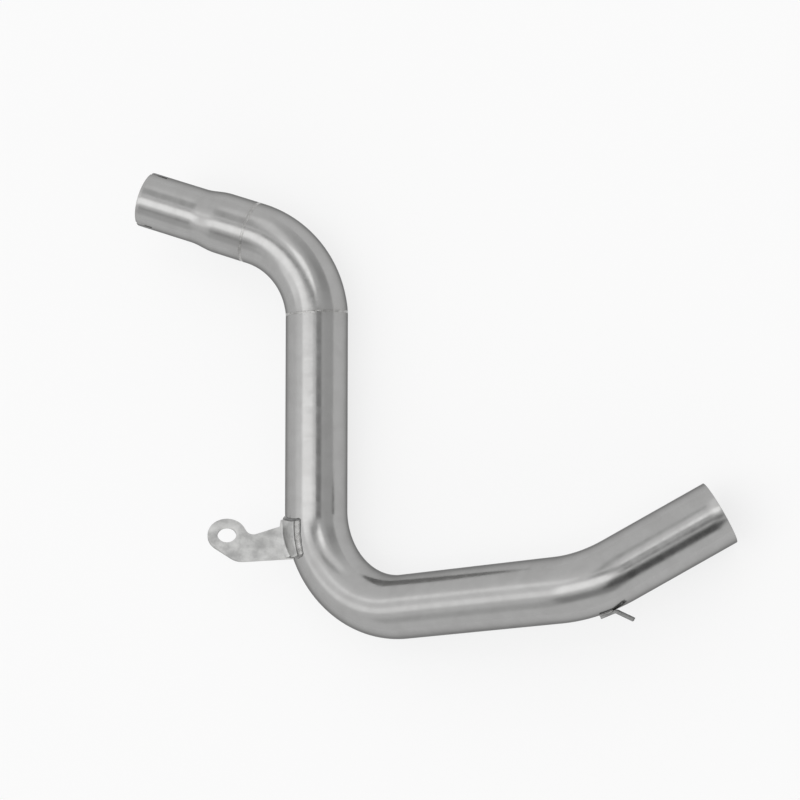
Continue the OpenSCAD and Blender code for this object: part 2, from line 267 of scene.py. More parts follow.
def build_mesh(name: str, points: np.ndarray, quads: np.ndarray, caps: list[list[int]],
               values: dict[str, np.ndarray] | None = None) -> bpy.types.Object:
    """Puts points and faces into a smooth mesh whose faces point outwards.

    Args:
        name: name of the new object.
        points: one row of three coordinates for each vertex.
        quads: four vertex numbers for each face.
        caps: vertex numbers of further faces with any number of sides.
        values: numbers or vectors for each vertex, by the name of their attribute.

    Returns:
        The new object, at the origin.
    """
    if signed_volume(points, quads) < 0:
        quads = quads[:, ::-1]
        caps = [cap[::-1] for cap in caps]
    mesh = bpy.data.meshes.new(name)
    mesh.from_pydata(points.tolist(), [], quads.tolist() + caps)
    for key, data in (values or {}).items():
        kind, slot_name = ("FLOAT_VECTOR", "vector") if data.ndim == 2 else ("FLOAT", "value")
        mesh.attributes.new(key, kind, "POINT").data.foreach_set(
            slot_name, data.astype(np.float32).ravel())
    smooth_faces(mesh)
    mesh.validate()
    mesh.update()
    return add_object(name, mesh)


def grid_quads(rows: int, columns: int, close_rows: bool, close_columns: bool) -> np.ndarray:
    """Numbers the faces of a grid of vertices.

    Args:
        rows: rows of vertices.
        columns: vertices in each row.
        close_rows: whether the last row joins the first.
        close_columns: whether the last column joins the first.

    Returns:
        Four vertex numbers for each face.
    """
    row = np.arange(rows if close_rows else rows - 1)[:, None]
    column = np.arange(columns if close_columns else columns - 1)[None, :]
    down, right = (row + 1) % rows, (column + 1) % columns
    corners = [row * columns + column, row * columns + right, down * columns + right,
               down * columns + column]
    return np.stack([c.ravel() for c in corners], axis=-1)


def strip_faces(rows: int, columns: int) -> tuple[np.ndarray, list[list[int]]]:
    """Faces between closed sections along a path, and the two faces that close its ends."""
    last = list(range(rows * columns - 1, (rows - 1) * columns - 1, -1))
    return grid_quads(rows, columns, False, True), [list(range(columns)), last]


def merge_and_mark(piece: bpy.types.Object, sharp: float) -> None:
    """Joins vertices that coincide and keeps edges sharper than an angle crisp."""
    edit = bmesh.new()
    edit.from_mesh(piece.data)
    bmesh.ops.remove_doubles(edit, verts=edit.verts, dist=SAME_PLACE)
    edit.to_mesh(piece.data)
    edit.free()
    piece.data.set_sharp_from_angle(angle=np.radians(sharp))


class Slot(Enum):
    """Finishes of the record, passed along with each new piece."""

    TUBE = "tube_steel"
    SHEET = "sheet_steel"
    WELD = "weld_steel"


def coat(piece: bpy.types.Object, look: bpy.types.Material) -> None:
    """Gives a piece one material in place of those it has."""
    piece.data.materials.clear()
    piece.data.materials.append(look)


def finish_piece(piece: bpy.types.Object, slot: Slot, look: bpy.types.Material,
                 *nodes: str) -> None:
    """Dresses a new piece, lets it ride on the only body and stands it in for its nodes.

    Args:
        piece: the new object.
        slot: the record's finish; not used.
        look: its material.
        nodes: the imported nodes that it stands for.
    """
    coat(piece, look)
    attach(piece, "root")
    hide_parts(*nodes)
    LOG.info("%s: %d faces, stands for %s", piece.name, len(piece.data.polygons), ", ".join(nodes))


class NodeTree:
    """Adds and joins shader nodes with little text."""

    def __init__(self, tree: bpy.types.NodeTree) -> None:
        """Starts with an empty tree."""
        self.tree = tree
        tree.nodes.clear()

    def add(self, kind: str, settings: dict | None = None, **inputs: object) -> bpy.types.Node:
        """Adds a node.

        Args:
            kind: the node's type.
            settings: properties of the node itself.
            inputs: values or sockets by input, with i and a number, or the input's name with
                underscores for spaces.

        Returns:
            The new node.
        """
        node = self.tree.nodes.new(kind)
        for key, value in (settings or {}).items():
            setattr(node, key, value)
        for key, value in inputs.items():
            number = key[1:]
            target = node.inputs[int(number) if number.isdigit() else key.replace("_", " ")]
            if isinstance(value, bpy.types.NodeSocket):
                self.tree.links.new(value, target)
            else:
                target.default_value = value
        return node

    def math(self, operation: str, first: object, second: object = 0.0) -> bpy.types.NodeSocket:
        """Result of one sum on numbers."""
        return self.add("ShaderNodeMath", {"operation": operation}, i0=first, i1=second).outputs[0]

    def blend(self, share: object, first: object, second: object) -> bpy.types.NodeSocket:
        """Colour that goes from the first to the second as the share goes from 0 to 1."""
        node = self.add("ShaderNodeMix", {"data_type": "RGBA"}, i0=share, i6=first, i7=second)
        return node.outputs[2]

    def ramp(self, value: object, low: float, high: float, start: float = 0.0,
             end: float = 1.0) -> bpy.types.NodeSocket:
        """Value that goes smoothly from start to end as the input goes from low to high."""
        settings = {"interpolation_type": "SMOOTHSTEP"}
        return self.add("ShaderNodeMapRange", settings, i0=value, i1=low, i2=high, i3=start,
                        i4=end).outputs[0]


def new_material(name: str) -> tuple[bpy.types.Material, NodeTree]:
    """Starts a material and its empty node tree."""
    look = bpy.data.materials.new(name)
    look.use_nodes = True
    return look, NodeTree(look.node_tree)


def new_group(name: str, inputs: list[tuple[str, str]],
              outputs: list[tuple[str, str]]) -> tuple[NodeTree, bpy.types.Node, bpy.types.Node]:
    """Starts a shader node group.

    Args:
        name: the group's name.
        inputs: name and socket type of each input.
        outputs: name and socket type of each output.

    Returns:
        The group's tree, its input node and its output node.
    """
    group = bpy.data.node_groups.new(name, "ShaderNodeTree")
    for title, kind in inputs:
        group.interface.new_socket(title, in_out="INPUT", socket_type=kind)
    for title, kind in outputs:
        group.interface.new_socket(title, in_out="OUTPUT", socket_type=kind)
    tree = NodeTree(group)
    return tree, tree.add("NodeGroupInput"), tree.add("NodeGroupOutput")


NUMBER, VECTOR = "NodeSocketFloat", "NodeSocketVector"


def polish_group() -> bpy.types.NodeTree:
    """Group for the marks of polishing: fine lines and broad bands across a direction.

    Noise is read at places that are stretched by Stretch, so it is long where Stretch is small.

    Returns:
        Group with inputs Place, Line Stretch and Band Stretch and outputs Lines and Bands.
    """
    tree, given, result = new_group(
        "polish_marks", [("Place", VECTOR), ("Line Stretch", VECTOR), ("Band Stretch", VECTOR)],
        [("Lines", NUMBER), ("Bands", NUMBER)])
    for stretch, output, detail in (("Line Stretch", "Lines", 4.0), ("Band Stretch", "Bands", 2.0)):
        place = tree.add("ShaderNodeVectorMath", {"operation": "MULTIPLY"},
                         i0=given.outputs["Place"], i1=given.outputs[stretch])
        noise = tree.add("ShaderNodeTexNoise", Vector=place.outputs[0], Scale=1.0,
                         Detail=detail, Roughness=0.6)
        tree.tree.links.new(noise.outputs[0], result.inputs[output])
    return tree.tree


def mottle_group() -> bpy.types.NodeTree:
    """Group for cloudy stains and small specks, which every finish has.

    Returns:
        Group with inputs Place, Cloud Size and Speck Size and outputs Clouds and Specks.
    """
    tree, given, result = new_group(
        "mottle", [("Place", VECTOR), ("Cloud Size", NUMBER), ("Speck Size", NUMBER)],
        [("Clouds", NUMBER), ("Specks", NUMBER)])
    for size, output in (("Cloud Size", "Clouds"), ("Speck Size", "Specks")):
        scale = tree.math("DIVIDE", 1.0, given.outputs[size])
        noise = tree.add("ShaderNodeTexNoise", Vector=given.outputs["Place"], Scale=scale,
                         Detail=3.0, Roughness=0.55)
        tree.tree.links.new(noise.outputs[0], result.inputs[output])
    return tree.tree


@dataclass(frozen=True)
class Finish:
    """A steel surface: its colour, gloss and marks.

    The colour goes to stained in clouds, to the seam colour at welds and in painted shade at bead
    toes and beside the bracket's saddle, and, by the share grain, in the polish's lines. The
    stretches set how fine these lines and the bands of gloss are along each axis. bump is the
    height of the lines and wave that of the clouds, and edge_shade is how bright the steel stays at
    a grazing view, a dark edge tint that paints shade on its outline.
    """

    name: str
    colour: tuple[float, float, float]
    stained: tuple[float, float, float]
    seam_colour: tuple[float, float, float]
    roughness: float
    roughness_spread: float
    cloud_size: float
    speck_size: float
    line_stretch: tuple[float, float, float]
    band_stretch: tuple[float, float, float]
    bump: float
    wave: float = 0.0
    grain: float = 0.1
    edge_shade: float = 1.0
    straightened: bool = False

    def material(self, groups: dict[str, bpy.types.NodeTree]) -> bpy.types.Material:
        """Makes the material.

        Args:
            groups: the shader node groups, by name.

        Returns:
            The new material.
        """
        look, tree = new_material(self.name)
        if self.straightened:
            place = tree.add("ShaderNodeAttribute", {"attribute_name": STRAIGHT}).outputs["Vector"]
        else:
            place = tree.add("ShaderNodeTexCoord").outputs["Object"]
        polish = tree.add("ShaderNodeGroup", {"node_tree": groups["polish"]}, Place=place,
                          Line_Stretch=self.line_stretch, Band_Stretch=self.band_stretch)
        mottle = tree.add("ShaderNodeGroup", {"node_tree": groups["mottle"]}, Place=place,
                          Cloud_Size=self.cloud_size, Speck_Size=self.speck_size)
        seam = tree.add("ShaderNodeAttribute", {"attribute_name": SEAM}).outputs["Fac"]
        clouds = tree.ramp(mottle.outputs["Clouds"], *CLOUD_RANGE)
        colour = tree.blend(clouds, (*self.colour, 1), (*self.stained, 1))
        grain = tree.ramp(polish.outputs["Lines"], *NOISE_RANGE, 0.0, self.grain)
        colour = tree.blend(grain, colour, (*self.seam_colour, 1))
        # the seam colour marks weld stain and painted shade at bead toes and the saddle's edges
        colour = tree.blend(seam, colour, (*self.seam_colour, 1))
        spread = self.roughness_spread
        rough = tree.ramp(polish.outputs["Bands"], *NOISE_RANGE, self.roughness - spread,
                          self.roughness + spread)
        specks = tree.ramp(mottle.outputs["Specks"], *NOISE_RANGE, -SPECK_SHARE * spread,
                           SPECK_SHARE * spread)
        rough = tree.math("ADD", rough, specks)
        waves = tree.add("ShaderNodeBump", Strength=1.0, Distance=self.wave,
                         Height=mottle.outputs["Clouds"])
        bump = tree.add("ShaderNodeBump", Strength=1.0, Distance=self.bump,
                        Height=polish.outputs["Lines"], Normal=waves.outputs[0])
        # Specular tint: edge_shade darkens the grazing reflections, a painted shade on the steel's
        # outline
        steel = tree.add("ShaderNodeBsdfPrincipled", Base_Color=colour, Metallic=1.0,
                         Roughness=rough, Normal=bump.outputs[0],
                         Specular_Tint=(self.edge_shade,) * 3 + (1,))
        tree.add("ShaderNodeOutputMaterial", Surface=steel.outputs[0])
        return look


TUBE_FINISH = Finish(
    name="satin_tube", colour=(0.415, 0.414, 0.41), stained=(0.39, 0.388, 0.384),
    seam_colour=(0.37, 0.366, 0.36), roughness=0.19, roughness_spread=0.03, cloud_size=16 * MM,
    speck_size=2 * MM, line_stretch=(30, 30, 1400), band_stretch=(6, 6, 90), bump=0.01 * MM,
    wave=0.1 * MM, grain=0.2, edge_shade=0.35, straightened=True)
SHEET_FINISH = Finish(
    name="pickled_sheet", colour=(0.70, 0.70, 0.69), stained=(0.45, 0.45, 0.445),
    seam_colour=(0.30, 0.30, 0.295), roughness=0.38, roughness_spread=0.06, cloud_size=14 * MM,
    speck_size=0.6 * MM, line_stretch=(900, 900, 900), band_stretch=(60, 60, 60), bump=0.02 * MM,
    grain=0.12, edge_shade=0.4)
# Painted shade: the sheet finish made darker for the rear tab, which sits in shade under the tube.
TAB_FINISH = replace(
    SHEET_FINISH, name="shaded_tab_sheet", colour=(0.26, 0.26, 0.257), stained=(0.20, 0.20, 0.198),
    seam_colour=(0.16, 0.16, 0.16), roughness=0.40, cloud_size=8 * MM)
WELD_FINISH = Finish(
    name="weld_metal", colour=(0.44, 0.437, 0.43), stained=(0.30, 0.297, 0.29),
    seam_colour=(0.10, 0.10, 0.10), roughness=0.28, roughness_spread=0.08, cloud_size=4 * MM,
    speck_size=0.5 * MM, line_stretch=(600, 600, 600), band_stretch=(200, 200, 200),
    bump=0.03 * MM)
CATALYST_FINISH = Finish(
    name="coated_foil", colour=(0.36, 0.34, 0.32), stained=(0.28, 0.26, 0.24),
    seam_colour=(0.2, 0.19, 0.18), roughness=0.5, roughness_spread=0.08, cloud_size=10 * MM,
    speck_size=0.8 * MM, line_stretch=(700, 700, 700), band_stretch=(100, 100, 100),
    bump=0.03 * MM)


@dataclass(frozen=True)
class PipeSizes:
    """Driving sizes of the bent tubes, as the part has them."""

    tube_radius: float = 30 * MM
    wall: float = 1.5 * MM
    bend_radius: float = 90 * MM
    inlet_radius: float = 27 * MM
    inlet_stub: float = 56 * MM
    inlet_flare: float = 27 * MM
    inlet_length: float = 112 * MM
    slot_width: float = 3 * MM
    slot_length: float = 18 * MM
    inlet_weld: float = 3 * MM
    elbow_lead: float = 2 * MM
    elbow_bend: float = 66
    elbow_tail: float = 3 * MM
    elbow_mitre: float = 6
    elbow_weld: float = 2.4 * MM
    upright_run: float = 189 * MM
    lower_bend: float = 97
    lower_run: float = 166 * MM
    rear_bend: float = 37.5
    outlet_run: float = 103 * MM
    upper_twist: float = 20
    rear_twist: float = 49
    mantle_length: float = 100 * MM
    mantle_inset: float = 35 * MM

    @property
    def bore_radius(self) -> float:
        """Inner radius of the tube."""
        return self.tube_radius - self.wall


class Layout:
    """Places of the tubes in the part's own frame, worked out as the part works them out."""

    settle_rounds = 6

    def __init__(self, sizes: PipeSizes) -> None:
        """Finds the roll at which the pipe rests, and the frames that depend on it."""
        self.sizes = sizes
        roll = self.settled_roll()
        lean = np.radians(sizes.upper_twist) - roll
        mantle = [np.array(corner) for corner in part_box("catalyst_mantle")]
        middle = (mantle[0] + mantle[1]) / 2
        above = sizes.upright_run - sizes.mantle_inset - sizes.mantle_length / 2
        rest = shift(middle[0], middle[1] - above, sizes.tube_radius)
        c, s = np.cos(roll), np.sin(roll)
        self.lower = rest @ np.array([[c, -s, 0, 0], [0, 0, -1, 0], [s, c, 0, 0], [0, 0, 0, 1.0]])
        c, s = np.cos(lean), np.sin(lean)
        self.upper = rest @ np.array([[-c, s, 0, 0], [0, 0, 1, sizes.upright_run], [s, c, 0, 0],
                                      [0, 0, 0, 1.0]])
        self.elbow = self.upper @ turn_y(sizes.elbow_mitre)
        self.mitre = self.upper @ turn_y(sizes.elbow_mitre / 2)
        self.main_route = Route(self.lower @ shift(z=-sizes.upright_run), self.main_legs(),
                                sizes.bend_radius)
        self.inlet_route = Route(self.elbow, (
            Leg(sizes.elbow_tail), Leg(bend=sizes.elbow_bend),
            Leg(sizes.elbow_lead + sizes.inlet_weld + sizes.inlet_length)), sizes.bend_radius)
        rear_start = self.main_route.reach(3)   # past the upright, the lower bend and the lower run
        self.rear = self.main_route.frame_at(rear_start) @ turn_z(-sizes.rear_twist)

    def main_legs(self) -> tuple[Leg, ...]:
        """Legs of the main pipe from the mitre to the outlet."""
        sizes = self.sizes
        return (Leg(sizes.upright_run), Leg(bend=sizes.lower_bend), Leg(sizes.lower_run),
                Leg(bend=sizes.rear_bend, twist=-sizes.rear_twist), Leg(sizes.outlet_run))

    def settled_roll(self) -> float:
        """Finds the roll about the upright run at which the outlet's rim meets the floor.

        The rim's lowest point lies r √(1 - d²) below its middle, where d is how far its heading
        dives, so roll = asin((r √(1 - d²) - r) / reach) - the outlet's own bearing, repeated
        for a fixed number of rounds.

        Returns:
            The roll in radians.
        """
        r = self.sizes.tube_radius
        route = Route(np.eye(4), self.main_legs()[1:], self.sizes.bend_radius)
        end = route.frame_at(route.length) @ turn_z(-self.sizes.rear_twist)
        reach, bearing = np.hypot(end[0, 3], end[1, 3]), np.arctan2(end[1, 3], end[0, 3])
        roll = 0.0
        for _ in range(self.settle_rounds):
            dive = np.sin(roll) * end[0, 2] + np.cos(roll) * end[1, 2]
            roll = np.arcsin((r * np.sqrt(1 - dive * dive) - r) / reach) - bearing
        return roll


@dataclass(frozen=True)
class TubeSkin:
    """Outer and inner skin of a stretch of tube, as one closed surface."""

    route: Route
    outer: float
    inner: float
    columns: int = 144
    straight_step: float = 12 * MM
    bend_step: float = 2.0
    mitre_reach: float = 14 * MM

    def build(self, name: str, start: float, end: float, mitre: np.ndarray | None = None,
              seams: tuple[float, ...] = (), round_end: bool = True) -> bpy.types.Object:
        """Builds the skin.

        A point is centre + r (X cos t + Y sin t), and rows run out along the outer skin, round
        the rim as a quarter circle and back along the inner skin. Beside a mitre the rows lean
        over, until the first one lies in the mitre's plane.

        Args:
            name: name of the new object.
            start: station of the first end.
            end: station of the last end.
            mitre: frame whose XY plane cuts the first end, if it is cut.
            seams: stations with a weld.
            round_end: whether the last end has rounded edges.

        Returns:
            The new object.
        """
        route_stations = self.route.stations(self.straight_step, self.bend_step)
        inside = (route_stations > start + MM) & (route_stations < end - 2 * RIM - MM / 2)
        near = np.array([start + self.mitre_reach]) if mitre is not None else np.empty(0)
        run = np.unique(np.concatenate([[start], near, route_stations[inside]]))
        rim = RIM if round_end else 0.0
        turn = np.linspace(0, np.pi / 2, RIM_STEPS)
        rim_out = end - rim + rim * np.sin(turn)
        drop = rim * (1 - np.cos(turn))
        stations = np.concatenate([run, rim_out, rim_out[::-1], run[::-1]])
        radii = np.concatenate([np.full(len(run), self.outer), self.outer - drop,
                                self.inner + drop[::-1], np.full(len(run), self.inner)])
        return self.skin(name, stations, radii, mitre, seams)

    def skin(self, name: str, stations: np.ndarray, radii: np.ndarray,
             mitre: np.ndarray | None, seams: tuple[float, ...]) -> bpy.types.Object:
        """Carries the rows round the tube and builds the mesh.

        Args:
            name: name of the new object.
            stations: station of each row.
            radii: radius of each row.
            mitre: frame whose XY plane cuts the first end, if it is cut.
            seams: stations with a weld.

        Returns:
            The new object.
        """
        frames = self.route.frames(stations)
        ring = radii[:, None] * np.exp(1j * full_circle(self.columns))[None, :]
        points = ring_points(frames, ring.real, ring.imag)
        heading = frames[:, None, :3, 2]
        lean = np.zeros(ring.shape)
        if mitre is not None:
            normal, middle = mitre[:3, 2], mitre[:3, 3]
            to_plane = ((middle - points) @ normal) / (heading @ normal)
            share = np.clip((stations - stations.min()) / self.mitre_reach, 0, 1)[:, None]
            lean = np.where(share < 1, to_plane * (1 - share), 0)
        points = points + lean[..., None] * heading
        along = np.broadcast_to(stations[:, None], ring.shape) + lean
        straight = np.stack([ring.real, ring.imag, along], axis=-1)
        seam = np.zeros(ring.shape)
        for station in seams:
            seam = np.maximum(seam, 1 - smooth_step(np.abs(along - station) / SEAM_REACH))
        quads = grid_quads(len(stations), self.columns, True, True)
        values = {STRAIGHT: straight.reshape(-1, 3), SEAM: SEAM_SHADE * seam.ravel()}
        piece = build_mesh(name, points.reshape(-1, 3), quads, [], values)
        merge_and_mark(piece, TUBE_CRISP)
        return piece


@dataclass
class BentTubes:
    """The main pipe and the upper elbow, with the two welds that join them and the inlet.

    In the bore the crown of a weld is lower than outside, by root_share.
    """

    layout: Layout
    crown: float = 0.05 * MM
    ripple: float = 0.01 * MM
    ripple_pitch: float = 1.5 * MM
    ripple_lag: float = 0.8 * MM
    root_share: float = 0.5
    weld_rows: int = 9
    weld_columns: int = 288
    toe_shade: float = 0.2

    def build(self, tube: bpy.types.Material, weld: bpy.types.Material) -> None:
        """Builds and dresses the tubes and their round welds."""
        sizes, layout = self.layout.sizes, self.layout
        half_weld = sizes.elbow_weld / 2
        main = TubeSkin(layout.main_route, sizes.tube_radius, sizes.bore_radius)
        lower_cut = layout.mitre @ shift(z=-half_weld)
        finish_piece(main.build("bent_main_pipe", half_weld, layout.main_route.length, lower_cut,
                                (0.0,)), Slot.TUBE, tube, "main_pipe")
        elbow = TubeSkin(layout.inlet_route, sizes.tube_radius, sizes.bore_radius)
        elbow_end = layout.inlet_route.reach(2) + sizes.elbow_lead   # past its tail and its bend
        upper_cut = layout.mitre @ shift(z=half_weld)
        seams = (0.0, elbow_end + sizes.inlet_weld / 2)
        finish_piece(elbow.build("bent_upper_elbow", half_weld, elbow_end, upper_cut, seams, False),
                     Slot.TUBE, tube, "upper_elbow")
        finish_piece(self.mitre_weld(), Slot.WELD, weld, "elbow_weld")
        finish_piece(self.inlet_weld(elbow_end), Slot.WELD, weld, "inlet_weld")

    def crowned(self, share: np.ndarray, turn: np.ndarray, phase: float) -> np.ndarray:
        """Height of a dressed weld: a low crown 1 - (2t - 1)² with ripples that lag at its sides."""
        side = 2 * share - 1
        length = turn * self.layout.sizes.tube_radius + self.ripple_lag * side * side
        wave = np.cos(2 * np.pi * length / self.ripple_pitch + phase)
        return (1 - side * side) * (self.crown + self.ripple * wave)

    def ring_mesh(self, name: str, outer: np.ndarray, inner: np.ndarray,
                  shares: np.ndarray) -> bpy.types.Object:
        """Closes an outer and an inner band of points into a ring and builds its mesh.

        Args:
            name: name of the new object.
            outer: rows of points on the outside.
            inner: rows of points on the bore's side.
            shares: place of each row across the weld, from 0 to 1.

        Returns:
            The new object.
        """
        points = np.concatenate([outer, inner[::-1]])
        toe = np.abs(2 * np.concatenate([shares, shares[::-1]]) - 1)
        seam = np.repeat((self.toe_shade * toe ** 3)[:, None], points.shape[1], axis=1)
        quads = grid_quads(points.shape[0], points.shape[1], True, True)
        piece = build_mesh(name, points.reshape(-1, 3), quads, [], {SEAM: seam.ravel()})
        merge_and_mark(piece, WELD_CRISP)
        return piece

    def mitre_weld(self) -> bpy.types.Object:
        """Builds the weld under the elbow.

        Each row is the cut of a cylinder by a plane beside the mitre: the upright run's cylinder
        below the mitre and the elbow's above it.

        Returns:
            The new object.
        """
        sizes, layout = self.layout.sizes, self.layout
        shares = np.linspace(0, 1, self.weld_rows)
        turn = full_circle(self.weld_columns)
        normal = layout.mitre[:3, 2]
        bands = []
        for radius, height in ((sizes.tube_radius, 1.0), (sizes.bore_radius, -self.root_share)):
            rows = []
            for share in shares:
                base = layout.upper if share < 0.5 else layout.elbow
                r = radius + height * self.crowned(np.full(turn.shape, share), turn, 1.0)
                ring = (base[:3, 3] + np.outer(r * np.cos(turn), base[:3, 0])
                        + np.outer(r * np.sin(turn), base[:3, 1]))
                middle = layout.mitre[:3, 3] + normal * sizes.elbow_weld * (share - 0.5)
                run = ((middle - ring) @ normal) / (base[:3, 2] @ normal)
                rows.append(ring + np.outer(run, base[:3, 2]))
            bands.append(np.array(rows))
        return self.ring_mesh("elbow_weld_bead", bands[0], bands[1], shares)

    def inlet_weld(self, start: float) -> bpy.types.Object:
        """Builds the weld behind the inlet, whose rows are plain rings of the tube."""
        sizes = self.layout.sizes
        shares = np.linspace(0, 1, self.weld_rows)
        turn = full_circle(self.weld_columns)
        frames = self.layout.inlet_route.frames(start + sizes.inlet_weld * shares)
        bump = self.crowned(shares[:, None], turn[None, :], 0.0)
        bands = [ring_points(frames, r * np.cos(turn), r * np.sin(turn))
                 for r in (sizes.tube_radius + bump, sizes.bore_radius - self.root_share * bump)]
        return self.ring_mesh("inlet_weld_bead", bands[0], bands[1], shares)


@dataclass
class InletStub:
    """The drawn stub with its flare and its two clamp slots."""

    layout: Layout
    columns: int = 80
    slots: tuple[float, float] = (22, 158)
    slot_round_steps: int = 9
    flare_steps: int = 25
    plain_depths_mm: tuple[float, ...] = (4, 8, 12, 22, 30, 38, 47, 92, 102)

    def radius_at(self, depth: np.ndarray) -> np.ndarray:
        """Outer radius: the stub's, a half wave of cosine over the flare, then the tube's."""
        sizes = self.layout.sizes
        share = np.clip((depth - sizes.inlet_stub) / sizes.inlet_flare, 0, 1)
        rise = (1 - np.cos(np.pi * share)) / 2
        return sizes.inlet_radius + (sizes.tube_radius - sizes.inlet_radius) * rise

    def depths(self) -> np.ndarray:
        """Depths behind the mouth, close together at the slots' round ends and over the flare."""
        sizes = self.layout.sizes
        slot_start = sizes.slot_length - sizes.slot_width / 2
        turn = np.linspace(0, np.pi / 2, self.slot_round_steps)
        round_end = slot_start + sizes.slot_width / 2 * np.sin(turn)
        flare = sizes.inlet_stub + sizes.inlet_flare * np.linspace(0, 1, self.flare_steps)
        plain = np.array(self.plain_depths_mm) * MM
        return np.unique(np.concatenate([plain, round_end, flare, [sizes.inlet_length]]))

    def slot_half_width(self, depth: np.ndarray) -> np.ndarray:
        """Half of the slots' width: even, then the root of a circle at their round ends."""
        sizes = self.layout.sizes
        half = sizes.slot_width / 2
        beyond = np.clip(depth - (sizes.slot_length - half), 0, half)
        return np.sqrt(np.clip(half * half - beyond * beyond, 0, None))

    def build(self, tube: bpy.types.Material) -> None:
        """Builds and dresses the stub.

        Each of its two parts is a grid: rows run from the weld out to the mouth, round the rim
        and back inside, and columns go from one slot to the next. The slots' walls join row k
        of the outside to the same row of the inside.
        """
        sizes = self.layout.sizes
        depth = self.depths()[::-1]
        depth = depth[depth > 2 * RIM]
        turn = np.linspace(0, np.pi / 2, RIM_STEPS)
        rim_depth = RIM * (1 - np.sin(turn))
        drop = RIM * (1 - np.cos(turn))
        outer = np.concatenate([self.radius_at(depth), self.radius_at(rim_depth) - drop])
        inner = np.concatenate([self.radius_at(depth), self.radius_at(rim_depth) + drop])
        inner -= sizes.wall
        half_depths = np.concatenate([depth, rim_depth])
        depths = np.concatenate([half_depths, half_depths[::-1]])
        radii = np.concatenate([outer, inner[::-1]])
        mouth = self.layout.inlet_route.length
        frames = self.layout.inlet_route.frames(mouth - depths)
        gap = np.arcsin(self.slot_half_width(depths) / radii)
        share = np.linspace(0, 1, self.columns)
        starts = np.radians(self.slots)
        ends = np.radians([self.slots[1], self.slots[0] + 360])
        points, straights, quads = [], [], []
        rows = len(depths)
        for half in range(2):
            span = ends[half] - starts[half] - 2 * gap[:, None]
            angle = starts[half] + gap[:, None] + share * span
            ring = radii[:, None] * np.exp(1j * angle)
            points.append(ring_points(frames, ring.real, ring.imag))
            along = np.broadcast_to((mouth - depths)[:, None], ring.shape)
            straights.append(np.stack([ring.real, ring.imag, along], axis=-1))
            quads.append(grid_quads(rows, self.columns, True, False)
                         + half * rows * self.columns)
            quads.append(self.slot_walls(depths, half))
        points = np.concatenate(points).reshape(-1, 3)
        straight = np.concatenate(straights).reshape(-1, 3)
        weld = mouth - sizes.inlet_length - sizes.inlet_weld / 2
        seam = SEAM_SHADE * (1 - smooth_step(np.abs(straight[:, 2] - weld) / SEAM_REACH))
        piece = build_mesh("drawn_inlet_stub", points, np.concatenate(quads), [],
                           {STRAIGHT: straight, SEAM: seam})
        merge_and_mark(piece, TUBE_CRISP)
        finish_piece(piece, Slot.TUBE, tube, "inlet_connector")

    def slot_walls(self, depths: np.ndarray, half: int) -> np.ndarray:
        """Numbers the faces of the slots' walls in one part of the stub.

        Args:
            depths: depth of each row.
            half: which part, 0 or 1.

        Returns:
            Four vertex numbers for each face.
        """
        rows = len(depths)
        pair = np.arange(rows // 2 - 1)
        pair = pair[depths[pair + 1] < self.layout.sizes.slot_length - 1e-9]
        faces = []
        for column, forward in ((0, True), (self.columns - 1, False)):
            first = half * rows * self.columns + column
            near, far = first + pair * self.columns, first + (pair + 1) * self.columns
            near_in = first + (rows - 1 - pair) * self.columns
            far_in = first + (rows - 2 - pair) * self.columns
            wall = np.stack([near, near_in, far_in, far], axis=-1)
            faces.append(wall if forward else wall[:, ::-1])
        return np.concatenate(faces)


